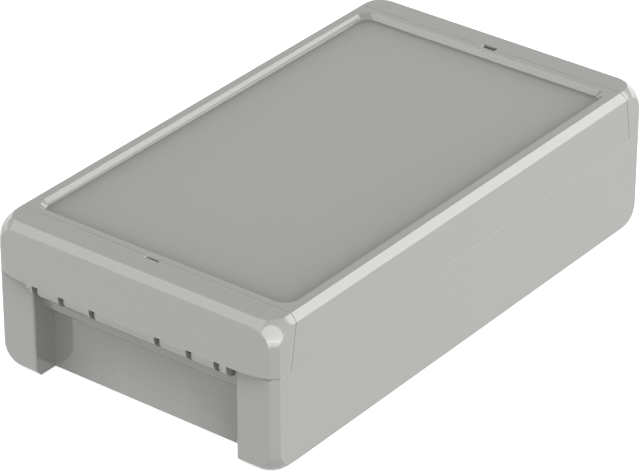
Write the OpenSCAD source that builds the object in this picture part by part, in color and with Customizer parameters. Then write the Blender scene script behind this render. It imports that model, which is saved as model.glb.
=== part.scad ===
// Flat plastic instrument enclosure.
// A base tray and a lid meet in a sealed joint. At each short end a closure
// turns on a line of moulded pins, wraps the end of the lid and locks it down.
// X runs along the length, Y across the width, Z up. The origin is in the
// middle of the underside.

/* [Overall] */
// Length between the outer faces of the corner columns
body_l = 223; // [180:1:320]
// Width of the box
body_w = 125; // [110:1:200]
// Height of the closed box
body_h = 60; // [54:1:90]
// Height of the joint between the base and the lid
split_z = 39.5; // [36:0.5:42]
// Seam left between two neighbouring mouldings
seam = 0.2; // [0.15:0.05:0.4]

/* [Edges] */
// Width of the flat bevel along the outer edges, measured along a face
bevel = 2.6; // [1.5:0.1:4]
// Radius that blends the bevels into each other at the corners
corner_r = 11; // [4:0.5:11.5]
// Fine bevel on the rim of the base
rim_bevel = 0.3; // [0.1:0.1:0.5]
// Bevel on the rim of the column faces, where a closure swings past
swing_bevel = 0.7; // [0.6:0.1:0.9]

/* [Walls] */
// Thickness of the side walls
wall = 4; // [3.6:0.1:5]
// Thickness of the floor
floor_t = 3; // [2:0.1:5]
// Thickness of the lid under the recess
lid_t = 2.7; // [2:0.1:4]
// Radius of the upright inner corners
inner_r = 3; // [1:0.5:6]

/* [Corner columns] */
// Width of a corner column, across the box
column_w = 17.1; // [16:0.1:24]
// Depth of the cable space between the columns
end_depth = 10.3; // [9.5:0.1:11]
// How far the band above the cable space stands back from the columns
band_depth = 5.15; // [5:0.05:6]
// Height of the underside of that band
band_z = 26.1; // [20:0.1:28]
// Slope under the front of the band
band_slope = 1.4; // [0.8:0.1:2]
// Height of the fine step in the face of the band, above its underside
band_step = 3.4; // [2.4:0.1:5]
// How far the face above that step stands proud
band_proud = 0.3; // [0.1:0.05:0.4]
// Bevel on the upright inner edges of the columns
column_edge = 0.5; // [0.2:0.1:0.8]
// Thickness of the end wall
end_wall = 3.2; // [3:0.1:4]
// Diameter of the wall-mounting screw holes
fix_d = 4.5; // [3.5:0.1:5]
// Diameter of the shaft that takes the screw head
fix_head_d = 7.2; // [6.4:0.1:7.2]
// Height of the seat under the screw head
fix_seat = 5; // [3:0.5:10]
// Distance of the screw holes from the end face
fix_in_x = 5; // [4.9:0.1:5.1]
// Distance of the screw holes from the side face
fix_in_y = 8.5; // [7:0.1:9]

/* [Seal] */
// Width of the groove in the rim of the lid
groove_w = 2; // [1.8:0.1:2.2]
// Depth of that groove
groove_d = 2.3; // [1.8:0.1:3]
// Thickness of the sealing cord
seal_t = 1.3; // [1:0.1:1.5]
// Width of the tongue on the base
tongue_w = 1; // [0.8:0.1:1.2]
// Air left between the tongue and the seal
seal_gap = 0.05; // [0.02:0.01:0.1]

/* [Lid recess] */
// Distance from the end face to the edge of the keypad recess
recess_in_x = 14.75; // [14:0.25:20]
// Distance from the side face to the edge of the keypad recess
recess_in_y = 5.9; // [5:0.1:12]
// Radius of the corners of the recess at the top
recess_r = 6; // [4:0.5:12]
// Depth of the recess
recess_d = 2.3; // [1.8:0.1:3]
// Width of the sloping lip round the recess
recess_lip = 1.2; // [0.6:0.1:1.5]
// Run of the steep wall below that lip
recess_draft = 0.5; // [0.2:0.1:0.8]

/* [Closures] */
// Reach of a closure over the top of the lid
closure_top = 11.85; // [11.4:0.05:12.4]
// Reach of a closure at the height of the joint
closure_foot = 8.4; // [8.2:0.1:9]
// Wall thickness of a closure
closure_wall = 2.6; // [2:0.1:3.2]
// How far the foot of a closure stands proud of the columns
bulge = 2.45; // [1.5:0.05:3]
// Width over which the foot runs back to the column at each side
bulge_run = 13; // [8:0.5:16]
// Thickness of the stiffening ribs
rib_t = 1.6; // [1:0.1:2.4]
// Number of stiffening ribs on each side of the middle
rib_n = 4; // [2:1:5]
// Height of the foot of a rib above the joint, at the outer wall
rib_low = 2.4; // [2:0.1:4]
// Height of the foot of a rib above the joint, beside the lid
rib_high = 6; // [4:0.5:8]
// Space between a rib and the end of the lid
rib_gap = 1.2; // [0.5:0.1:2]
// Length of the screwdriver slot
slot_l = 6.5; // [4:0.5:10]
// Width of the screwdriver slot
slot_w = 2.5; // [1.5:0.1:3]
// Depth of the screwdriver slot
slot_d = 1.6; // [1:0.1:2]
// Slope at the lid's side and at both ends of the slot
slot_slope = 0.8; // [0.4:0.1:1]

/* [Hinges] */
// Distance of the hinge axis from the outer face of the columns
axis_in = 1.5; // [1.4:0.1:2]
// Distance of the hinge axis below the joint
axis_drop = 3.2; // [3.1:0.05:3.3]
// Radius at which the outer wall rolls under into the barrel
roll_r = 5; // [4.8:0.1:5.2]
// Radius along the back of the barrel
barrel_r = 1; // [0.6:0.1:1.3]
// Distance of the back of the barrel behind the outer face of the columns
barrel_back = 2.6; // [2.4:0.1:2.8]
// Free length at the plain end of the barrel
barrel_short = 2.15; // [1:0.05:4]
// Free length at the closed end of the barrel
barrel_play = 0.35; // [0.2:0.05:0.6]
// Length of the lip that runs on from the closed end, in front of the column
lip_l = 1.4; // [0.8:0.1:2]
// Height of that lip
lip_h = 1.4; // [1:0.1:1.5]
// How far the row of windows sits off the middle
window_off = 1.6; // [1:0.05:2]
// Distance of the middle of an outer window from the end of the row
window_end = 4.7; // [4:0.1:7]
// Step from an outer window to the next one
window_step = 12.1; // [10:0.1:13]
// Step from there to the innermost window
window_step_in = 14; // [10:0.1:15]
// Width of the windows in the barrel
window_w = 2.7; // [2.5:0.1:4]
// Radius of the pins in the windows
pin_r = 1.1; // [1:0.05:1.2]
// Length by which each end of a pin runs into the barrel
pin_root = 0.5; // [0.3:0.1:1]
// Running clearance between a pin and its hook
pin_clear = 0.06; // [0.04:0.01:0.08]
// Outer radius of a hook
hook_r = 1.85; // [1.8:0.05:2]
// Side clearance of a hook in its window
hook_play = 0.2; // [0.15:0.05:0.3]
// Width of the mouth of a hook
mouth_w = 1.8; // [1.6:0.1:2]
// How far the arm of a hook drops towards the band
arm_drop = 1; // [0.5:0.1:2]
// Height of the top of the arm above the hinge axis
arm_top = 0.9; // [0.7:0.1:1.2]

/* [Inside] */
// Distance between the board pillars along the box
board_l = 164; // [100:1:166]
// Distance between the board pillars across the box
board_w = 90; // [60:1:92]
// Diameter of a board pillar
pillar_d = 7; // [6:0.5:9]
// Height of a board pillar
pillar_h = 6; // [4:0.5:10]
// Diameter of the pilot hole in a board pillar
pilot_d = 2.8; // [2:0.1:3.2]
// Distance between the keypad pillars along the lid
key_l = 120; // [60:1:160]
// Distance between the keypad pillars across the lid
key_w = 80; // [40:1:92]
// Diameter of a keypad pillar
key_pillar_d = 6; // [5:0.5:8]
// Height of a keypad pillar
key_pillar_h = 5; // [3:0.5:8]
// Diameter of the pilot hole in a keypad pillar
key_pilot_d = 2.2; // [1.8:0.1:2.6]
// Depth of the pilot hole in a keypad pillar
key_pilot_depth = 4; // [3:0.5:6]

/* [Hidden] */
// the outer faces and the heights that the pieces share
half_l = body_l / 2;
half_w = body_w / 2;
rim_z = split_z - seam / 2;
lid_z = split_z + seam / 2;
gap_w = half_w - column_w;
ceiling_z = body_h - recess_d - lid_t;
// the lean of the end joint: inset of the closure's edge at a height
lean = (closure_top - closure_foot) / (body_h - split_z);
function joint_in(z) = closure_foot + lean * (z - split_z);
// the hinge line of a closure
axis_z = split_z - axis_drop;
barrel_a = -(gap_w - barrel_short);
barrel_b = gap_w - barrel_play;
window_y = [
    for (side = [-1, 1])
    for (step = [0, window_step, window_step + window_step_in])
    window_off + side * (gap_w - window_end - step)
];
// the sealing line
inner_in = end_depth + end_wall;
seal_in_x = (closure_foot + inner_in) / 2;
seal_in_y = wall / 2;
seal_r = 3;
tongue_h = groove_d - seal_t - seal_gap + seam;
// round parts
round_fn = 64;
blend_steps = 6;
// the ball must stay behind the faces that meet at the corner
blend_r = min(corner_r, 4.5 * bevel);
over = 1;
shell_grey = [0.735, 0.735, 0.715];
seal_grey = [0.25, 0.25, 0.26];

// ---- shared forms -------------------------------------------------------

// A rectangle with round corners, centred on the origin.
module round_rect(l, w, r) {
    union() {
        square([l - 2 * r, w], center = true);
        square([l, w - 2 * r], center = true);
        for (x = [-1, 1], y = [-1, 1])
            translate([x * (l / 2 - r), y * (w / 2 - r)])
                circle(r, $fn = round_fn);
    }
}

// The whole closed box: flat bevels along every edge, blended at the corners.
// At each corner the three bevels run into a piece of a ball, and the creases
// between them are rounded to the same radius, so the faces end in arcs.
module outer_form() {
    n = blend_steps;
    half = [half_l, half_w, body_h / 2];
    // the ball, as rows of directions between the three bevels
    grid = [for (i = [0:n], j = [0:n - i]) on_ball(i, j)];
    // the rounded creases, run out to the X, Y and Z faces
    to_x = [for (m = [0:n]) on_end_face(m)];
    to_y = [for (m = [0:n]) let (p = grid[row(m)]) p + (half[1] - p[1]) * [-1, 1, -1]];
    to_z = [for (m = [0:n]) let (p = grid[m]) p + (half[2] - p[2]) * [-1, -1, 1]];
    corner = concat(grid, to_x, to_y, to_z);
    size = len(corner);
    x0 = len(grid);
    y0 = x0 + n + 1;
    z0 = y0 + n + 1;
    patch = concat(
        [for (i = [0:n - 1], j = [0:n - 1 - i]) [row(i) + j, row(i + 1) + j, row(i) + j + 1]],
        [
            for (i = [0:n - 1], j = [0:n - 1 - i])
            if (j < n - 1 - i)
            [row(i + 1) + j, row(i + 1) + j + 1, row(i) + j + 1]
        ],
        [for (m = [0:n - 1]) [row(m) + n - m, row(m + 1) + n - m - 1, x0 + m + 1, x0 + m]],
        [for (m = [0:n - 1]) [row(m + 1), row(m), y0 + m, y0 + m + 1]],
        [for (m = [0:n - 1]) [m, m + 1, z0 + m + 1, z0 + m]]
    );
    signs = [for (z = [-1, 1], y = [-1, 1], x = [-1, 1]) [x, y, z]];
    points = [
        for (s = signs, p = corner)
        [s[0] * p[0], s[1] * p[1], s[2] * p[2] + half[2]]
    ];
    patches = [
        for (c = [0:7], f = patch)
        let (s = signs[c], g = [for (v = f) v + c * size])
        s[0] * s[1] * s[2] > 0 ? g : turned(g)
    ];
    // the ends of each bevel: face, ball, face
    end_xy = [x0 + n, row(n), y0 + n];
    end_xz = [z0 + n, n, x0];
    end_yz = [y0, 0, z0];
    bevels = concat(
        [for (c = [0:3]) strip(end_xy, c, c + 4, size, signs[c][0] * signs[c][1] < 0)],
        [for (c = [0, 1, 4, 5]) strip(end_xz, c, c + 2, size, signs[c][0] * signs[c][2] < 0)],
        [for (c = [0, 2, 4, 6]) strip(end_yz, c, c + 1, size, signs[c][1] * signs[c][2] < 0)]
    );
    up = [for (m = [0:n]) m];
    down = [for (m = [n:-1:0]) m];
    faces = [
        loop([[0, x0, up], [4, x0, down], [6, x0, up], [2, x0, down]], size),
        loop([[1, x0, down], [3, x0, up], [7, x0, down], [5, x0, up]], size),
        loop([[0, y0, down], [1, y0, up], [5, y0, down], [4, y0, up]], size),
        loop([[2, y0, up], [6, y0, down], [7, y0, up], [3, y0, down]], size),
        loop([[0, z0, up], [2, z0, down], [3, z0, up], [1, z0, down]], size),
        loop([[4, z0, down], [5, z0, up], [7, z0, down], [6, z0, up]], size)
    ];
    polyhedron(points, concat(patches, bevels, faces));
}

// A point of the ball between the XY, XZ and YZ bevels of a corner, measured
// from the middle of the box.
function on_ball(i, j) =
    let (
        in = bevel / 2 + blend_r / sqrt(2),
        d = i * [1, 1, 0] + j * [1, 0, 1] + (blend_steps - i - j) * [0, 1, 1]
    )
    [half_l - in, half_w - in, body_h / 2 - in] + blend_r * d / norm(d);

// A point of the arc that ends the X face at a corner.
function on_end_face(m) =
    let (p = on_ball(m, blend_steps - m))
    p + (half_l - p[0]) * [1, -1, -1];

// The first number in a row of the triangular grid on the ball.
function row(i) = i * (blend_steps + 1) - i * (i - 1) / 2;

// A face seen from its other side.
function turned(f) = [for (i = [len(f) - 1:-1:0]) f[i]];

// A bevel between two corners that mirror each other.
function strip(ends, a, b, size, flip) =
    let (f = concat([for (v = ends) v + a * size], [for (v = turned(ends)) v + b * size]))
    flip ? f : turned(f);

// A face of the box: the arcs of its four corners, one after another.
function loop(arcs, size) = turned([for (arc = arcs, m = arc[2]) arc[0] * size + arc[1] + m]);

// Everything that lies between two heights.
module between(low, high) {
    big = body_l + body_w;
    translate([-big / 2, -big / 2, low])
        cube([big, big, high - low]);
}

// A profile drawn in X and Z, run along Y from one place to another.
module along_y(from, to) {
    translate([0, to, 0])
        rotate([90, 0, 0])
            linear_extrude(to - from)
                children();
}

// The plan of a ring that follows the sealing line.
module seal_ring(width) {
    l = body_l - 2 * seal_in_x;
    w = body_w - 2 * seal_in_y;
    difference() {
        round_rect(l + width, w + width, seal_r + width / 2);
        round_rect(l - width, w - width, seal_r - width / 2);
    }
}

// The place of each wall-mounting screw.
module at_fixings() {
    for (x = [-1, 1], y = [-1, 1])
        translate([x * (half_l - fix_in_x), y * (half_w - fix_in_y), 0])
            children();
}

// The four corners of a pattern.
module at_corners(l, w) {
    for (x = [-1, 1], y = [-1, 1])
        translate([x * l / 2, y * w / 2, 0])
            children();
}

// Both ends of the box: what is drawn for the left end, and its half turn.
module at_ends() {
    for (turn = [0, 180])
        rotate([0, 0, turn])
            children();
}

// ---- base ---------------------------------------------------------------

// Cable space between the columns at the left end, with the band above it.
module cable_space() {
    along_y(-gap_w, gap_w)
        polygon([
            [-half_l - over, -over],
            [-half_l + end_depth, -over],
            [-half_l + end_depth, band_z],
            [-half_l + band_depth + band_slope, band_z],
            [-half_l + band_depth, band_z + band_slope],
            [-half_l + band_depth, band_z + band_step],
            [-half_l + band_depth - band_proud, band_z + band_step],
            [-half_l + band_depth - band_proud, split_z + over],
            [-half_l - over, split_z + over]
        ]);
}

// Bevels on the upright edges of the columns beside the cable space.
module column_edges() {
    side = column_edge * sqrt(2);
    for (y = [-1, 1])
        translate([-half_l, y * gap_w, split_z / 2])
            rotate([0, 0, 45])
                cube([side, side, split_z + 2 * over], center = true);
}

// Fine bevels along the rim, wider at the column faces, where the closure
// swings past them.
module rim_edges() {
    side = rim_bevel * sqrt(2);
    end = swing_bevel * sqrt(2);
    for (y = [-1, 1])
        translate([0, y * half_w, rim_z])
            rotate([45, 0, 0])
                cube([body_l + over, side, side], center = true);
    for (x = [-1, 1])
        translate([x * half_l, 0, rim_z])
            rotate([0, 45, 0])
                cube([end, body_w + over, end], center = true);
}

// One hook that holds a pin of the closure: a ring with its mouth upward, on
// an arm that grows out of the band.
module hook() {
    width = window_w - 2 * hook_play;
    reach = band_depth - axis_in;
    along_y(-width / 2, width / 2)
        difference() {
            union() {
                circle(hook_r, $fn = round_fn);
                polygon([
                    [0, -hook_r],
                    [reach + over, -hook_r - arm_drop],
                    [reach + over, arm_top],
                    [0, arm_top]
                ]);
            }
            circle(pin_r + pin_clear, $fn = round_fn);
            translate([-mouth_w / 2, 0])
                square([mouth_w, hook_r + over]);
        }
}

module hooks() {
    for (y = window_y)
        translate([-half_l + axis_in, y, axis_z])
            hook();
}

// A hollow pillar for a self-tapping screw.
module pillar(d, h) {
    cylinder(h, d = d, $fn = round_fn);
}

module base_shell() {
    color(shell_grey) {
        difference() {
            union() {
                difference() {
                    intersection() {
                        outer_form();
                        between(-over, rim_z);
                    }
                    translate([0, 0, floor_t])
                        linear_extrude(split_z)
                            round_rect(
                                body_l - 2 * inner_in,
                                body_w - 2 * wall,
                                inner_r
                            );
                    at_ends() {
                        cable_space();
                        column_edges();
                    }
                    rim_edges();
                }
                translate([0, 0, rim_z - over])
                    linear_extrude(tongue_h + over)
                        seal_ring(tongue_w);
                at_ends()
                    hooks();
                at_corners(board_l, board_w)
                    translate([0, 0, floor_t - over])
                        pillar(pillar_d, pillar_h + over);
            }
            at_fixings() {
                translate([0, 0, -over])
                    cylinder(body_h, d = fix_d, $fn = round_fn);
                translate([0, 0, fix_seat])
                    cylinder(body_h, d = fix_head_d, $fn = round_fn);
            }
            at_corners(board_l, board_w)
                translate([0, 0, floor_t])
                    cylinder(pillar_h + over, d = pilot_d, $fn = round_fn);
        }
    }
}

// ---- lid ----------------------------------------------------------------

// The space over the lid's ends that belongs to a closure, drawn to the left.
module end_cut(gap) {
    far = half_l + bulge + over;
    top = body_h + over;
    low = split_z - over;
    polygon([
        [-far, low],
        [-half_l + joint_in(low) + gap, low],
        [-half_l + joint_in(top) + gap, top],
        [-far, top]
    ]);
}

// Screwdriver slot that lies half in the closure and half in the lid. Its end
// walls and its wall in the lid open out in a slope.
module driver_slot() {
    half = slot_w / 2;
    end = slot_l / 2;
    translate([-half_l + closure_top, 0, body_h])
        intersection() {
            along_y(-slot_l, slot_l)
                polygon([
                    [-half, over],
                    [-half, -slot_d],
                    [half - slot_slope, -slot_d],
                    [half - slot_slope, -slot_slope],
                    [half + over, over]
                ]);
            rotate([90, 0, 90])
                linear_extrude(2 * slot_w, center = true)
                    polygon([
                        [-end - over, over],
                        [-end + slot_slope, -slot_slope],
                        [-end + slot_slope, -slot_d - over],
                        [end - slot_slope, -slot_d - over],
                        [end - slot_slope, -slot_slope],
                        [end + over, over]
                    ]);
        }
}

// Shallow recess for a keypad or a label: a sloping lip, then a steep wall.
module recess() {
    l = body_l - 2 * recess_in_x;
    w = body_w - 2 * recess_in_y;
    cut = 2 * recess_lip;
    full = cut + 2 * recess_draft;
    thin = 0.01;
    hull() {
        translate([0, 0, body_h])
            linear_extrude(thin)
                round_rect(l, w, recess_r);
        translate([0, 0, body_h - recess_lip])
            linear_extrude(thin)
                round_rect(l - cut, w - cut, recess_r - recess_lip);
    }
    hull() {
        translate([0, 0, body_h - recess_lip])
            linear_extrude(thin)
                round_rect(l - cut, w - cut, recess_r - recess_lip);
        translate([0, 0, body_h - recess_d])
            linear_extrude(thin)
                round_rect(l - full, w - full, recess_r - recess_lip - recess_draft);
    }
}

// Inside of the lid: the ends lean as the outside does, the sides are upright.
module lid_space() {
    low = lid_z - over;
    top_in = inner_in + lean * (ceiling_z - lid_z);
    intersection() {
        along_y(-half_w, half_w)
            polygon([
                [-half_l + inner_in, low],
                [half_l - inner_in, low],
                [half_l - inner_in, lid_z],
                [half_l - top_in, ceiling_z],
                [-half_l + top_in, ceiling_z],
                [-half_l + inner_in, lid_z]
            ]);
        translate([0, 0, low])
            linear_extrude(body_h)
                round_rect(
                    body_l - 2 * inner_in,
                    body_w - 2 * wall,
                    inner_r
                );
    }
}

module lid() {
    color(shell_grey) {
        difference() {
            union() {
                difference() {
                    intersection() {
                        outer_form();
                        between(lid_z, body_h + over);
                    }
                    lid_space();
                }
                at_corners(key_l, key_w)
                    translate([0, 0, ceiling_z - key_pillar_h])
                        pillar(key_pillar_d, key_pillar_h + over);
            }
            at_ends() {
                along_y(-half_w - over, half_w + over)
                    end_cut(seam);
                driver_slot();
            }
            recess();
            translate([0, 0, lid_z - over])
                linear_extrude(groove_d + over)
                    seal_ring(groove_w);
            at_corners(key_l, key_w)
                translate([0, 0, ceiling_z - key_pillar_h - over])
                    cylinder(key_pilot_depth + over, d = key_pilot_d, $fn = round_fn);
        }
    }
}

module lid_gasket() {
    color(seal_grey)
        translate([0, 0, lid_z + groove_d - seal_t])
            linear_extrude(seal_t)
                seal_ring(groove_w);
}

// ---- closures -----------------------------------------------------------

// The plan of the closure's foot: straight along the middle, then an arc back
// to the column at each side.
module foot_plan(inset) {
    steps = 12;
    flat = half_w - bevel - bulge_run;
    arc_r = (bulge_run * bulge_run + bulge * bulge) / (2 * bulge);
    edge = [
        for (i = [0:steps])
        let (y = flat + bulge_run * i / steps)
        [-half_l - bulge + arc_r - sqrt(arc_r * arc_r - pow(y - flat, 2)) + inset, y]
    ];
    back = -half_l + closure_foot;
    polygon(concat(
        edge,
        [[back, half_w - bevel], [back, -half_w + bevel]],
        [for (i = [steps:-1:0]) [edge[i][0], -edge[i][1]]]
    ));
}

// The flat outline of the end face under the bevels, with its arc corners,
// standing upright between two distances from the plane of the columns.
module end_outline(from, to) {
    arc = [for (m = [blend_steps:-1:0]) on_end_face(m)];
    mid = body_h / 2;
    translate([-half_l + from, 0, 0])
        rotate([90, 0, 90])
            linear_extrude(to - from)
                polygon(concat(
                    [[half_w - bevel, lid_z]],
                    [for (p = arc) [p[1], p[2] + mid]],
                    [for (p = turned(arc)) [-p[1], p[2] + mid]],
                    [[-half_w + bevel, lid_z]]
                ));
}

// The outer face swells from its arc-cornered outline under the bevels to the
// bowed foot. inset moves the whole swelling inward, for the inside of the wall.
module swelling(inset) {
    thin = 0.01;
    hull() {
        translate([0, 0, lid_z])
            linear_extrude(thin)
                foot_plan(inset);
        end_outline(inset, closure_foot);
    }
}

// The wall of a closure where it rolls under into the barrel, drawn from the
// outer face of the columns and the height of the joint: one large arc that
// carries on the lean of the wall, and a small one up the back.
module barrel_profile() {
    steps = 14;
    face_lean = atan2(bulge, body_h - bevel - lid_z);
    hub = [-bulge + roll_r * cos(face_lean), seam / 2 - roll_r * sin(face_lean)];
    turn = acos((hub[0] - barrel_back + barrel_r) / (roll_r - barrel_r));
    heel = hub - (roll_r - barrel_r) * [cos(turn), sin(turn)];
    polygon(concat(
        [
            for (i = [0:steps])
            let (a = -face_lean + (turn + face_lean) * i / steps)
            hub - roll_r * [cos(a), sin(a)]
        ],
        [
            for (i = [1:steps / 2])
            let (a = turn + (180 - turn) * 2 * i / steps)
            heel - barrel_r * [cos(a), sin(a)]
        ],
        [[barrel_back, over], [closure_wall / 2 - bulge, over]]
    ));
}

// The short lip that runs on past the closed end of the barrel, in front of
// the column.
module barrel_lip() {
    translate([0, barrel_b - over, 0])
        intersection() {
            along_y(0, lip_l + over)
                translate([-half_l, split_z])
                    barrel_profile();
            translate([-half_l - 2 * bulge - barrel_play, 0, split_z - lip_h])
                cube([2 * bulge, lip_l + over, lip_h + over]);
        }
}

module closure() {
    rib_pitch = (half_w - bevel - closure_wall) / (rib_n + 0.6);
    rib_ys = [for (i = [-rib_n:rib_n]) i * rib_pitch];
    color(shell_grey) {
        difference() {
            union() {
                // outer wall, roof and cheeks
                difference() {
                    union() {
                        intersection() {
                            outer_form();
                            between(lid_z, body_h + over);
                            along_y(-half_w - over, half_w + over)
                                end_cut(0);
                        }
                        swelling(0);
                    }
                    difference() {
                        union() {
                            swelling(closure_wall);
                            intersection() {
                                end_outline(closure_wall, closure_top + over);
                                between(split_z, body_h - closure_wall);
                                along_y(-half_w + closure_wall, half_w - closure_wall)
                                    translate([-body_l, 0])
                                        square([body_l, body_h]);
                            }
                            translate([-half_l, -half_w + closure_wall, split_z - over])
                                cube([
                                    closure_top + over,
                                    body_w - 2 * closure_wall,
                                    seam / 2 + over
                                ]);
                        }
                        // ribs stand in the hollow and stop short of the lid
                        for (y = rib_ys)
                            along_y(y - rib_t / 2, y + rib_t / 2)
                                polygon([
                                    [-half_l - over, split_z + rib_low],
                                    [-half_l + closure_foot - rib_gap, split_z + rib_high],
                                    [-half_l + closure_top - rib_gap, body_h],
                                    [-half_l - over, body_h]
                                ]);
                    }
                }
                // barrel under the outer wall
                along_y(barrel_a, barrel_b)
                    translate([-half_l, split_z])
                        barrel_profile();
                barrel_lip();
            }
            // windows for the hooks
            for (y = window_y)
                translate([-half_l - 2 * bulge, y - window_w / 2, split_z - 2 * axis_drop])
                    cube([
                        2 * bulge + band_depth,
                        window_w,
                        2 * axis_drop + seam / 2
                    ]);
            driver_slot();
        }
        // pins across the windows
        for (y = window_y)
            translate([-half_l + axis_in, y, axis_z])
                rotate([90, 0, 0])
                    cylinder(window_w + 2 * pin_root, r = pin_r, center = true, $fn = round_fn);
    }
}

module left_closure() {
    closure();
}

module right_closure() {
    rotate([0, 0, 180])
        closure();
}

base_shell();
lid();
left_closure();
right_closure();
lid_gasket();
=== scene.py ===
# %% [markdown]
# # A plastic instrument enclosure
# The object is a flat box for electronics, moulded in light-grey ABS: a base
# tray, a lid with a sunken panel for a keypad, and a closure at each short end
# that swings out on moulded pins. The shapes come from the engineering model,
# so this lesson is about finish: how to make five plain solids look like
# crisp, glossy injection mouldings.

import math

import bpy
from mathutils import Matrix, Vector

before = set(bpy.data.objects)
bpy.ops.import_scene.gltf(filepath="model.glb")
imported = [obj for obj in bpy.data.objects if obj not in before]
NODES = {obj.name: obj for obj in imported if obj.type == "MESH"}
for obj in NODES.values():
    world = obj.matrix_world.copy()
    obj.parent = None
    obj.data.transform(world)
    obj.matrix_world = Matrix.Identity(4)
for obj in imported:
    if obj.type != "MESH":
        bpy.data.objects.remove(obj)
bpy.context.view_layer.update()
print("nodes:", ", ".join(sorted(NODES)))


# %% [markdown]
# ## Crisp flats and smooth blends
# A moulded corner is one soft ball between flat bevels, but the model holds it
# as small flat facets. Shading every face smooth would cure the ball and ruin
# the flats. A geometry-node modifier is a better way: it welds the mesh, makes
# all faces smooth, then marks each edge sharper than a limit as a hard edge.
# A weighted-normal modifier then lets the large flats keep their own direction,
# so a reflection stays still along a bevel and flows only round the corner.


# %% Build the shading modifier
def shade_by_angle(name, limit_deg, weld_m):
    """A geometry-node group that welds a mesh and hardens its sharp edges."""
    tree = bpy.data.node_groups.new(name, "GeometryNodeTree")
    for way in ("INPUT", "OUTPUT"):
        tree.interface.new_socket(
            "Geometry", in_out=way, socket_type="NodeSocketGeometry"
        )
    new, link = tree.nodes.new, tree.links.new
    start, end = new("NodeGroupInput"), new("NodeGroupOutput")
    weld = new("GeometryNodeMergeByDistance")
    weld.inputs["Distance"].default_value = weld_m
    soft = new("GeometryNodeSetShadeSmooth")
    soft.domain = "FACE"
    hard = new("GeometryNodeSetShadeSmooth")
    hard.domain = "EDGE"
    hard.inputs["Shade Smooth"].default_value = False
    angle = new("GeometryNodeInputMeshEdgeAngle")
    sharp = new("FunctionNodeCompare")
    sharp.operation = "GREATER_THAN"
    sharp.inputs["B"].default_value = math.radians(limit_deg)
    link(angle.outputs["Unsigned Angle"], sharp.inputs["A"])
    link(sharp.outputs["Result"], hard.inputs["Selection"])
    link(start.outputs["Geometry"], weld.inputs["Geometry"])
    link(weld.outputs["Geometry"], soft.inputs["Geometry"])
    link(soft.outputs["Geometry"], hard.inputs["Geometry"])
    link(hard.outputs["Geometry"], end.inputs["Geometry"])
    return tree


HARD_EDGE_DEG = 22
WELD = 2e-6  # metres
shade_tree = shade_by_angle("moulding_shading", HARD_EDGE_DEG, WELD)
print("edges above", HARD_EDGE_DEG, "degrees stay crisp")


# %% Put it on every piece
FULL_WEIGHT = 100


def shade(node):
    """Welds a node's mesh and shades it, without touching the mesh itself."""
    part = NODES[node]
    shading = part.modifiers.new("shading", "NODES")
    shading.node_group = shade_tree
    flats = part.modifiers.new("flats", "WEIGHTED_NORMAL")
    flats.mode = "FACE_AREA"
    flats.weight = FULL_WEIGHT
    flats.keep_sharp = True


for name in NODES:
    shade(name)
print("shaded", len(NODES), "pieces")

# %% [markdown]
# ## Small tools for materials
# A node material is easier to read when each step is one line. `Wires` wraps a
# node tree: `add` makes a node and sets its plain values, `join` links two
# sockets and `maths` makes one step of arithmetic. Effects that a finish can
# share with another become node groups, with named inputs so that each finish
# sets its own strength.


# %% A short way to wire nodes
class Wires:
    """Makes nodes in one tree and links them."""

    def __init__(self, tree):
        self.tree = tree

    def add(self, kind, settings=None, **values):
        node = self.tree.nodes.new(kind)
        for key, value in (settings or {}).items():
            setattr(node, key, value)
        for key, value in values.items():
            node.inputs[key.replace("_", " ")].default_value = value
        return node

    def join(self, source, target):
        self.tree.links.new(source, target)

    def maths(self, operation, a, b, clamp=False):
        node = self.tree.nodes.new("ShaderNodeMath")
        node.operation = operation
        node.use_clamp = clamp
        for socket, value in zip(node.inputs, (a, b)):
            if isinstance(value, (int, float)):
                socket.default_value = value
            else:
                self.join(value, socket)
        return node.outputs[0]


def new_group(name, inputs, outputs):
    """An empty shader group. Each socket is (name, kind, default)."""
    tree = bpy.data.node_groups.new(name, "ShaderNodeTree")
    kinds = {
        "value": "NodeSocketFloat",
        "colour": "NodeSocketColor",
        "normal": "NodeSocketVector",
    }
    for label, kind, default in inputs:
        socket = tree.interface.new_socket(
            label, in_out="INPUT", socket_type=kinds[kind]
        )
        socket.default_value = default
    for label, kind in outputs:
        tree.interface.new_socket(label, in_out="OUTPUT", socket_type=kinds[kind])
    w = Wires(tree)
    return w, w.add("NodeGroupInput"), w.add("NodeGroupOutput")


def place(w, group, **values):
    """An instance of a group in a material, with its own values."""
    node = w.add("ShaderNodeGroup", {"node_tree": group})
    for key, value in values.items():
        node.inputs[key.replace("_", " ")].default_value = value
    return node


print("tools ready")

# %% [markdown]
# ## Moulded grain
# The steel mould is finely eroded, so the plastic has a faint even grain and
# its gloss is a little uneven. Two noises do this: a fine one for the grain,
# and a slow one for the way the gloss drifts where the plastic cooled last.
# The group gives a height for a Bump node and a change of roughness.


# %% Group: moulded grain
def make_grain():
    w, start, end = new_group(
        "moulded_grain",
        [("Grain Size", "value", 0.0004), ("Gloss Drift", "value", 0.03)],
        [("Height", "value"), ("Roughness Change", "value")],
    )
    where = w.add("ShaderNodeTexCoord").outputs["Object"]
    per_metre = w.maths("DIVIDE", 1.0, start.outputs["Grain Size"])
    fine = w.add("ShaderNodeTexNoise", Detail=2.0, Roughness=0.6)
    w.join(where, fine.inputs["Vector"])
    w.join(per_metre, fine.inputs["Scale"])
    slow = w.add("ShaderNodeTexNoise", Scale=34.0, Detail=3.0, Roughness=0.55)
    w.join(where, slow.inputs["Vector"])
    centred = w.maths("SUBTRACT", slow.outputs["Fac"], 0.5)
    drift = w.maths("MULTIPLY", centred, start.outputs["Gloss Drift"])
    w.join(fine.outputs["Fac"], end.inputs["Height"])
    w.join(drift, end.inputs["Roughness Change"])
    return w.tree


grain_group = make_grain()
print(grain_group.name, "made")

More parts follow.
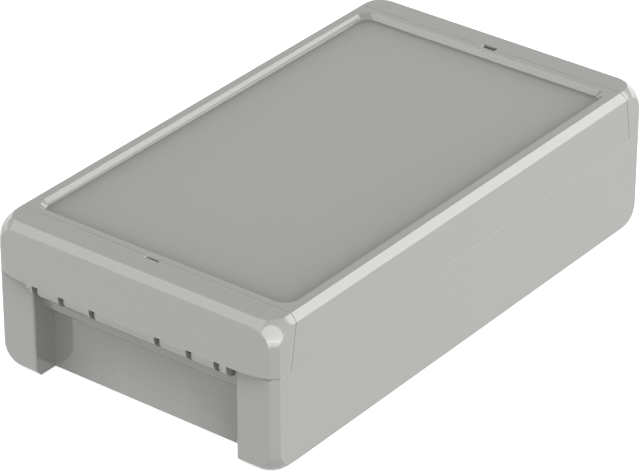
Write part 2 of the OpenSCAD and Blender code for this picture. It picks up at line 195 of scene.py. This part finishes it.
# %% [markdown]
# ## Rounded arrises
# No moulded edge is truly sharp: each has a radius of a few tenths of a
# millimetre that catches a thin line of light. Modelling all of them would
# cost many faces. The Bevel node bends only the normal near an edge, which is
# enough at this size, and comparing it with the true normal gives a mask that
# says where the edges are. The mask pales the colour there: a trace of wear,
# and a painted highlight along each edge.


# %% Group: soft arris
EDGE_GAIN = 6.0


def make_arris():
    w, start, end = new_group(
        "soft_arris",
        [("Radius", "value", 0.0003)],
        [("Normal", "normal"), ("Edge", "value")],
    )
    bevel = w.add("ShaderNodeBevel", {"samples": 6})
    w.join(start.outputs["Radius"], bevel.inputs["Radius"])
    face = w.add("ShaderNodeNewGeometry").outputs["Normal"]
    agree = w.add("ShaderNodeVectorMath", {"operation": "DOT_PRODUCT"})
    w.join(bevel.outputs["Normal"], agree.inputs[0])
    w.join(face, agree.inputs[1])
    turned = w.maths("SUBTRACT", 1.0, agree.outputs["Value"], clamp=True)
    edge = w.maths("MULTIPLY", turned, EDGE_GAIN, clamp=True)
    w.join(bevel.outputs["Normal"], end.inputs["Normal"])
    w.join(edge, end.inputs["Edge"])
    return w.tree


arris_group = make_arris()
print(arris_group.name, "made")

# %% [markdown]
# ## Dust and painted shade in the joints
# Where two mouldings meet, in the corners of the recess and between the hooks,
# the colour is darkened: partly a breath of dust and grease from handling,
# partly painted shade for these narrow places. Ambient occlusion finds such
# narrow places wherever they are, and a noise breaks the result up so that it
# doesn't look airbrushed.


# %% Group: joint dust and painted shade
LEAST_PATCH = 0.4


def make_dust_and_shade():
    w, start, end = new_group(
        "joint_dust_and_shade",
        [("Reach", "value", 0.002), ("Amount", "value", 0.3)],
        [("Dust And Shade", "value")],
    )
    gap = w.add("ShaderNodeAmbientOcclusion", {"samples": 6})
    w.join(start.outputs["Reach"], gap.inputs["Distance"])
    closed = w.maths("SUBTRACT", 1.0, gap.outputs["AO"], clamp=True)
    where = w.add("ShaderNodeTexCoord").outputs["Object"]
    patchy = w.add("ShaderNodeTexNoise", Scale=420.0, Detail=3.0)
    w.join(where, patchy.inputs["Vector"])
    uneven = w.maths("ADD", patchy.outputs["Fac"], LEAST_PATCH)
    # The mask darkens narrow places: partly dust, partly painted shade.
    dust_and_shade = w.maths("MULTIPLY", closed, uneven)
    dust_and_shade = w.maths("MULTIPLY", dust_and_shade, start.outputs["Amount"], clamp=True)
    w.join(dust_and_shade, end.inputs["Dust And Shade"])
    return w.tree


dust_and_shade_group = make_dust_and_shade()
print(dust_and_shade_group.name, "made")

# %% [markdown]
# ## Shade in the hollows
# Pale plastic looks darker in its hollows: under the closures, in the cable
# spaces and along the foot of the recess. The lamps alone leave these places a
# little too light, so this group helps them. Ambient occlusion with a long
# reach finds them, and its square root makes even a low wall count far from
# its foot. `Most` is the largest share of shade that any place can get.


# %% Group: hollow shade
def make_hollow():
    w, start, end = new_group(
        "hollow_shade",
        [("Reach", "value", 0.02), ("Amount", "value", 1.0), ("Most", "value", 0.4)],
        [("Shade", "value")],
    )
    open_sky = w.add("ShaderNodeAmbientOcclusion", {"samples": 16})
    w.join(start.outputs["Reach"], open_sky.inputs["Distance"])
    closed = w.maths("SUBTRACT", 1.0, open_sky.outputs["AO"], clamp=True)
    felt = w.maths("POWER", closed, 0.5)
    scaled = w.maths("MULTIPLY", felt, start.outputs["Amount"])
    w.join(w.maths("MINIMUM", scaled, start.outputs["Most"]), end.inputs["Shade"])
    return w.tree


hollow_group = make_hollow()
print(hollow_group.name, "made")

# %% [markdown]
# ## Light-grey ABS
# The mouldings share one granulate, so they share one material. Its colour
# wanders very slightly; edges are a touch paler, from wear and a painted
# highlight; hollows get painted shade, and joints dust and painted shade.
# The gloss is high for a moulding, so a lamp shows as a clear, crisp patch.


# %% Material: shell
def mix_colour(w, factor, a, b):
    """Blends two colours by a socket; each is a socket or an (r, g, b)."""
    mix = w.add("ShaderNodeMix", {"data_type": "RGBA"})
    sockets = [s for s in mix.inputs if s.type == "RGBA"]
    for socket, value in zip(sockets, (a, b)):
        if isinstance(value, tuple):
            socket.default_value = (*value, 1.0)
        else:
            w.join(value, socket)
    w.join(factor, mix.inputs["Factor"])
    return next(s for s in mix.outputs if s.type == "RGBA")


ABS_GREY = (0.455, 0.452, 0.432)
ABS_PALE = (0.52, 0.518, 0.50)
ABS_SHADE = (0.13, 0.129, 0.123)
# Colour for narrow joints: partly dust, partly painted shade.
ABS_DUST_AND_SHADE_COLOUR = (0.16, 0.15, 0.13)
# Lengths in metres.
ABS_GRAIN, ABS_GRAIN_DEPTH = 0.00035, 0.00004
ABS_ARRIS = 0.00012
ABS_DUST_AND_SHADE_REACH = 0.0008
ABS_HOLLOW_REACH = 0.03
# Strengths.
ABS_DRIFT = 0.03
ABS_CLOUD = 0.10
# How much the edges pale: wear, and a painted highlight.
ABS_WEAR_AND_GLINT = 0.5
ABS_DUST_AND_SHADE = 0.15
ABS_HOLLOW, ABS_HOLLOW_MOST = 1.1, 0.4
ABS_BUMP = 0.08
ABS_ROUGH, ABS_DUST_ROUGH = 0.09, 0.5


def make_shell():
    material = bpy.data.materials.new("light_grey_abs")
    material.use_nodes = True
    material.node_tree.nodes.clear()
    w = Wires(material.node_tree)
    grain = place(w, grain_group, Grain_Size=ABS_GRAIN, Gloss_Drift=ABS_DRIFT)
    arris = place(w, arris_group, Radius=ABS_ARRIS)
    dust_and_shade = place(w, dust_and_shade_group, Reach=ABS_DUST_AND_SHADE_REACH, Amount=ABS_DUST_AND_SHADE)
    where = w.add("ShaderNodeTexCoord").outputs["Object"]
    cloud = w.add("ShaderNodeTexNoise", Scale=11.0, Detail=2.0)
    w.join(where, cloud.inputs["Vector"])
    tint = w.maths("MULTIPLY", cloud.outputs["Fac"], ABS_CLOUD)
    plain = mix_colour(w, tint, ABS_GREY, ABS_PALE)
    # Paler edges: partly wear, partly a painted highlight.
    paler_edge = w.maths("MULTIPLY", arris.outputs["Edge"], ABS_WEAR_AND_GLINT)
    worn_and_glinting = mix_colour(w, paler_edge, plain, ABS_PALE)
    hollow = place(
        w,
        hollow_group,
        Reach=ABS_HOLLOW_REACH,
        Amount=ABS_HOLLOW,
        Most=ABS_HOLLOW_MOST,
    )
    shaded = mix_colour(w, hollow.outputs["Shade"], worn_and_glinting, ABS_SHADE)
    # Darker in narrow joints: partly dust, partly painted shade.
    colour = mix_colour(w, dust_and_shade.outputs["Dust And Shade"], shaded, ABS_DUST_AND_SHADE_COLOUR)
    bump = w.add("ShaderNodeBump", Strength=ABS_BUMP, Distance=ABS_GRAIN_DEPTH)
    w.join(grain.outputs["Height"], bump.inputs["Height"])
    w.join(arris.outputs["Normal"], bump.inputs["Normal"])
    rough = w.maths("ADD", grain.outputs["Roughness Change"], ABS_ROUGH)
    dusty = w.maths("MULTIPLY", dust_and_shade.outputs["Dust And Shade"], ABS_DUST_ROUGH)
    rough = w.maths("ADD", rough, dusty, clamp=True)
    plastic = w.add("ShaderNodeBsdfPrincipled", IOR=1.54)
    w.join(colour, plastic.inputs["Base Color"])
    w.join(rough, plastic.inputs["Roughness"])
    w.join(bump.outputs["Normal"], plastic.inputs["Normal"])
    surface = w.add("ShaderNodeOutputMaterial").inputs["Surface"]
    w.join(plastic.outputs["BSDF"], surface)
    return material


shell_abs = make_shell()
print(shell_abs.name, "made")

# %% [markdown]
# ## Sealing cord
# The seal is a soft foamed cord in the lid's groove. It is matt and dark, with
# tiny closed pores, so a cell texture gives the pits and a high roughness and
# a little sheen do the rest.


# %% Material: seal
SEAL_DARK = (0.028, 0.028, 0.030)
SEAL_WORN = (0.075, 0.074, 0.072)
# Lengths in metres.
SEAL_ARRIS = 0.00025
SEAL_PORE_DEPTH = 0.00012
# Strengths.
SEAL_PIT, SEAL_WEAR, SEAL_BUMP = 0.6, 0.4, 0.5
SEAL_ROUGH, SEAL_PIT_GLOSS = 0.92, 0.12
SEAL_SHEEN = 0.15


def make_seal():
    material = bpy.data.materials.new("sealing_foam")
    material.use_nodes = True
    material.node_tree.nodes.clear()
    w = Wires(material.node_tree)
    where = w.add("ShaderNodeTexCoord").outputs["Object"]
    pores = w.add("ShaderNodeTexVoronoi", Scale=2600.0)
    w.join(where, pores.inputs["Vector"])
    arris = place(w, arris_group, Radius=SEAL_ARRIS)
    pit = w.maths("MULTIPLY", pores.outputs["Distance"], 1.4, clamp=True)
    pitted = w.maths("MULTIPLY", pit, SEAL_PIT)
    colour = mix_colour(w, pitted, SEAL_DARK, SEAL_WORN)
    paler_edge = w.maths("MULTIPLY", arris.outputs["Edge"], SEAL_WEAR)
    colour = mix_colour(w, paler_edge, colour, SEAL_WORN)
    bump = w.add("ShaderNodeBump", Strength=SEAL_BUMP, Distance=SEAL_PORE_DEPTH)
    w.join(pit, bump.inputs["Height"])
    w.join(arris.outputs["Normal"], bump.inputs["Normal"])
    rubber = w.add("ShaderNodeBsdfPrincipled", IOR=1.5)
    rubber.inputs["Sheen Weight"].default_value = SEAL_SHEEN
    glossier = w.maths("MULTIPLY", pit, SEAL_PIT_GLOSS)
    rough = w.maths("SUBTRACT", SEAL_ROUGH, glossier)
    w.join(rough, rubber.inputs["Roughness"])
    w.join(colour, rubber.inputs["Base Color"])
    w.join(bump.outputs["Normal"], rubber.inputs["Normal"])
    surface = w.add("ShaderNodeOutputMaterial").inputs["Surface"]
    w.join(rubber.outputs["BSDF"], surface)
    return material


sealing_foam = make_seal()
print(sealing_foam.name, "made")

# %% [markdown]
# ## Dressing
# Each piece of the model has one finish. It is put in the object's own slots,
# so the mesh, with the plain colour that it came with, stays untouched.


# %% Dress the pieces
def dress(node, material):
    """Gives a carried-over node its finish."""
    for slot in NODES[node].material_slots:
        slot.link = "OBJECT"
        slot.material = material


FINISH = {
    "base_shell": shell_abs,
    "lid": shell_abs,
    "left_closure": shell_abs,
    "right_closure": shell_abs,
    "lid_gasket": sealing_foam,
}
for name, material in FINISH.items():
    dress(name, material)
    print(name, "->", material.name)

# %% [markdown]
# ## Floor
# The floor is a big white disc that glows a little, as a light table does, so
# it stays plain white in the picture. It throws no light up into the box and
# blocks none: all that shapes the box comes from the sky and the lamps.


# %% Floor
FLOOR_GLOW = 0.75
FLOOR_RADIUS, FLOOR_SIDES = 6.0, 96
FLOOR_DROP = 0.0002  # metres below the box, so that the two never touch


def make_floor(radius, sides):
    """A flat disc."""
    mesh = bpy.data.meshes.new("floor")
    turns = [2 * math.pi * i / sides for i in range(sides)]
    ring = [(radius * math.cos(turn), radius * math.sin(turn), 0) for turn in turns]
    mesh.from_pydata(ring, [], [list(range(sides))])
    floor = bpy.data.objects.new("floor", mesh)
    bpy.context.scene.collection.objects.link(floor)
    return floor


floor = make_floor(FLOOR_RADIUS, FLOOR_SIDES)
floor.location.z = -FLOOR_DROP
white = bpy.data.materials.new("white_floor")
white.use_nodes = True
paint = white.node_tree.nodes["Principled BSDF"]
paint.inputs["Base Color"].default_value = (0.86, 0.86, 0.86, 1)
paint.inputs["Roughness"].default_value = 0.9
paint.inputs["Specular IOR Level"].default_value = 0.1
paint.inputs["Emission Color"].default_value = (1, 1, 1, 1)
paint.inputs["Emission Strength"].default_value = FLOOR_GLOW
floor.data.materials.append(white)
floor.visible_diffuse = False
floor.visible_shadow = False
print("floor glows at", FLOOR_GLOW)

# %% [markdown]
# ## Lamps
# A glossy flat face is a mirror: the line of sight bounces off it, and the face
# shows whatever lies that way. So each bevel has one direction that matters,
# and a lamp placed there lights that bevel and little else. The bevel of the
# near closure looks high to the left, the long bevel looks to the right, and
# the ball corner looks back beside the camera. These lamps are seen in
# reflections only. One more, overhead, gives diffuse light only.
#
# The lamp on the left is split in two, a weaker one for the closures and a
# stronger one for the lid and base, so that the lip of the recess stands out.
# The corner's lamp hangs close to it and falls on the closures alone, since a
# large far one would show as a glare on the lid from behind.


# %% Lamps
def aim(thing, place_at, target):
    """Puts a thing in place and points it at its target."""
    thing.location = Vector(place_at)
    way = Vector(target) - Vector(place_at)
    thing.rotation_euler = way.to_track_quat("-Z", "Y").to_euler()


def lamp(name, centre, direction, distance, spread, radiance, seen_by, lights):
    """A round lamp for diffuse light or for reflections.

    spread is its half angle as seen from the centre. lights names the only
    pieces that it falls on; with none it falls on all.
    """
    data = bpy.data.lights.new(name, "AREA")
    data.shape = "DISK"
    data.size = 2 * distance * math.tan(math.radians(spread))
    area = math.pi * (data.size / 2) ** 2
    data.energy = radiance * area * math.pi
    lamp_object = bpy.data.objects.new(name, data)
    bpy.context.scene.collection.objects.link(lamp_object)
    centre = Vector(centre)
    aim(lamp_object, centre + Vector(direction).normalized() * distance, centre)
    lamp_object.visible_diffuse = seen_by == "diffuse"
    lamp_object.visible_glossy = seen_by == "gloss"
    lamp_object.visible_camera = False
    if lights:
        lit = bpy.data.collections.new(name + "_falls_on")
        for node in lights:
            lit.objects.link(NODES[node])
        lamp_object.light_linking.receiver_collection = lit
    return lamp_object


MIDDLE = (0, 0, 0.03)
CORNER = (-0.1024, -0.0534, 0.0509)
LEFT_HIGH, RIGHT = (-0.500, 0.527, 0.688), (0.688, -0.500, 0.527)
CAPS = ("left_closure", "right_closure")
BODY = ("base_shell", "lid")
LAMPS = (
    # name, centre, direction, distance, spread, radiance, seen by, falls on
    ("overhead", MIDDLE, (-0.3, -0.1, 0.95), 2.0, 14.0, 1.5, "diffuse", ()),
    ("front_soft", CORNER, LEFT_HIGH, 2.0, 30.0, 1.9, "gloss", CAPS),
    ("front_lip", CORNER, LEFT_HIGH, 2.0, 30.0, 2.6, "gloss", BODY),
    ("corner_disc", CORNER, (-0.698, -0.614, 0.40), 0.07, 35.0, 4.2, "gloss", CAPS),
    ("bevel_disc", CORNER, RIGHT, 2.0, 12.0, 4.2, "gloss", ()),
)
for row in LAMPS:
    print(lamp(*row).name, "seen by", row[-2], "rays")

# %% [markdown]
# ## Sky
# The room itself is a white tent. It is brightest low down, all round, so a
# low wall such as the lip of the recess darkens the floor beside it for
# several times its own height. It is a little brighter in front of the long
# side than behind it.


# %% Sky
SKY = 0.355  # strength straight up; it grows as one over the height
LEAN_X, LEAN_Y = 0.04, -0.28  # how much brighter towards +X and +Y
LOWEST = 0.09  # below this height it grows no more


def make_sky():
    """A world that is bright low down and leans a little to one side."""
    world = bpy.data.worlds.new("studio")
    world.use_nodes = True
    w = Wires(world.node_tree)
    way = w.add("ShaderNodeSeparateXYZ")
    w.join(w.add("ShaderNodeTexCoord").outputs["Generated"], way.inputs[0])
    x, y, z = way.outputs
    lean_x, lean_y = w.maths("MULTIPLY", x, LEAN_X), w.maths("MULTIPLY", y, LEAN_Y)
    side = w.maths("ADD", lean_x, lean_y)
    side = w.maths("MAXIMUM", w.maths("ADD", side, 1.0), 0.0)
    height = w.maths("MAXIMUM", z, LOWEST)
    bright = w.maths("MULTIPLY", w.maths("DIVIDE", SKY, height), side)
    above = w.maths("GREATER_THAN", z, 0.0)
    backdrop = world.node_tree.nodes["Background"]
    backdrop.inputs["Color"].default_value = (1, 1, 1, 1)
    w.join(w.maths("MULTIPLY", bright, above), backdrop.inputs["Strength"])
    return world


bpy.context.scene.world = make_sky()
print("sky", SKY)

# %% [markdown]
# ## Camera
# The box is seen from above one corner through a long lens, so its edges stay
# nearly parallel. The camera is placed by its angles, its distance and the
# point it looks at, then turned by a trace of roll.

# %% Camera
AZIMUTH, ELEVATION, ROLL = -52.553, 29.978, 0.066  # degrees
DISTANCE = 1.38362
TARGET_RIGHT, TARGET_UP = -0.00334, 0.02002
FOCAL_PER_WIDTH = 3751.5 / 640  # focal length over the width of the frame
SENSOR = 36.0  # millimetres
NEAR, FAR = 0.05, 50


def look_axes(azimuth, elevation, roll):
    """Right, up and back of a camera that looks at the origin."""
    a, e, r = (math.radians(v) for v in (azimuth, elevation, roll))
    back = Vector((math.sin(a) * math.cos(e), -math.cos(a) * math.cos(e), math.sin(e)))
    right = Vector((0, 0, 1)).cross(back).normalized()
    up = back.cross(right)
    return (
        right * math.cos(r) + up * math.sin(r),
        up * math.cos(r) - right * math.sin(r),
        back,
    )


right, up, back = look_axes(AZIMUTH, ELEVATION, ROLL)
camera_data = bpy.data.cameras.new("camera")
camera_data.sensor_fit = "HORIZONTAL"
camera_data.sensor_width = SENSOR
camera_data.lens = FOCAL_PER_WIDTH * SENSOR
camera_data.clip_start, camera_data.clip_end = NEAR, FAR
camera = bpy.data.objects.new("camera", camera_data)
bpy.context.scene.collection.objects.link(camera)
turn = Matrix((right, up, back)).transposed().to_4x4()
spot = right * TARGET_RIGHT + up * TARGET_UP + back * DISTANCE
camera.matrix_world = Matrix.Translation(spot) @ turn
bpy.context.scene.camera = camera
print("lens", round(camera_data.lens, 1), "mm at", round(DISTANCE, 3), "m")

# %% [markdown]
# ## Colour
# The plain view transform keeps the white floor white and the greys as they
# are set.

# %% Finish
view = bpy.context.scene.view_settings
view.view_transform = "Standard"
view.look = "None"

bpy.context.view_layer.update()
